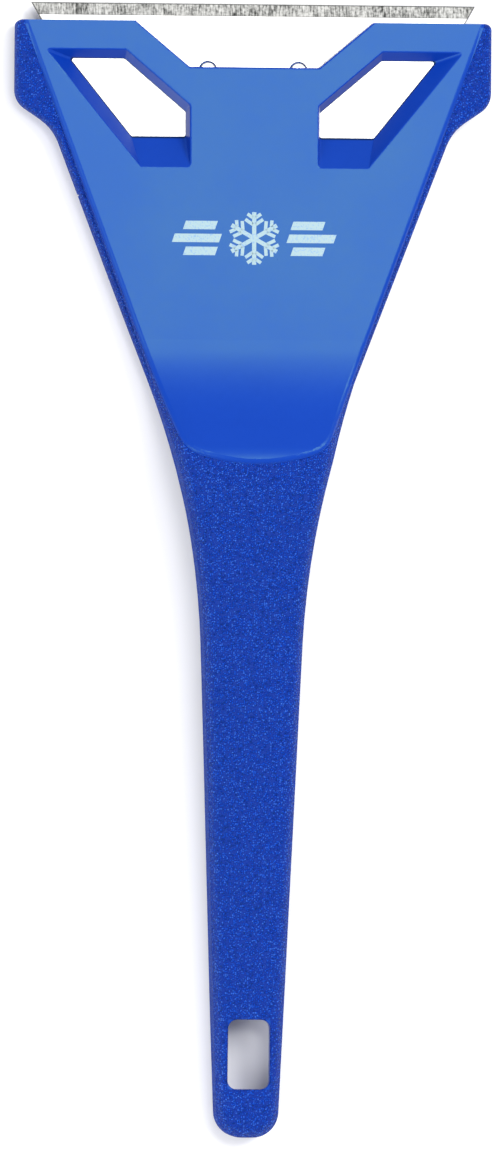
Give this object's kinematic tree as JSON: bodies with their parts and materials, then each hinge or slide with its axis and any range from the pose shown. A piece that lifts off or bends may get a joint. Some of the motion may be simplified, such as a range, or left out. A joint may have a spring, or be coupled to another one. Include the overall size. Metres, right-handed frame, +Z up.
{
  "type": "windshield ice scraper",
  "caption": "Hand ice scraper: a wide replaceable steel blade clamped in a triangular plastic head with viewing windows, on a tapering grained handle with a hanging hole.",
  "frame": {"origin": "centre of the footprint, on the table under the back, with the scraper lying face up", "axes": "+Y along the tool toward the cutting edge, +X across the blade, +Z up out of the smooth face"},
  "size_m": [0.107, 0.254, 0.02],
  "materials": {
    "shell_plastic": "blue moulded plastic, smooth on the face, pebble grained on the handle",
    "cover_plastic": "blue moulded plastic, pebble grained",
    "plate_plastic": "blue moulded plastic, fine matt",
    "blade_steel": "bright rolled steel with a ground bevel",
    "pin_steel": "turned steel",
    "screw_zinc": "bright zinc plate",
    "insert_brass": "turned brass"
  },
  "bodies": {
    "handle": {"front_body": "shell_plastic", "back_cover": "cover_plastic", "threaded_insert_left": "insert_brass", "threaded_insert_right": "insert_brass", "cover_screw_1": "screw_zinc", "cover_screw_2": "screw_zinc", "cover_screw_3": "screw_zinc", "cover_screw_4": "screw_zinc", "cover_screw_5": "screw_zinc"},
    "blade": {"blade": "blade_steel"},
    "clamp": {"clamp_plate": "plate_plastic", "locating_pin_left": "pin_steel", "locating_pin_right": "pin_steel", "clamp_washer_left": "screw_zinc", "clamp_washer_right": "screw_zinc"},
    "screw_left": {"clamp_screw_left": "screw_zinc"},
    "screw_right": {"clamp_screw_right": "screw_zinc"}
  },
  "joints": [
    {"name": "blade_slide", "type": "slide", "parent": "handle", "child": "blade", "axis": [0, 1, 0], "range_m": [0, 0.04]},
    {"name": "clamp_open", "type": "slide", "parent": "handle", "child": "clamp", "axis": [0, 0, -1], "range_m": [0, 0.0012]},
    {"name": "screw_left_turn", "type": "hinge", "parent": "clamp", "child": "screw_left", "pos_m": [-0.0102, 0.098, 0.002], "axis": [0, 0, -1], "range_deg": [0, 720]},
    {"name": "screw_right_turn", "type": "hinge", "parent": "clamp", "child": "screw_right", "pos_m": [0.0102, 0.098, 0.002], "axis": [0, 0, -1], "range_deg": [0, 720]}
  ],
  "couplings": [
    {"joint": "screw_left_turn", "follows": "clamp_open", "rad_per_m": 10472},
    {"joint": "screw_right_turn", "follows": "clamp_open", "rad_per_m": 10472}
  ]
}
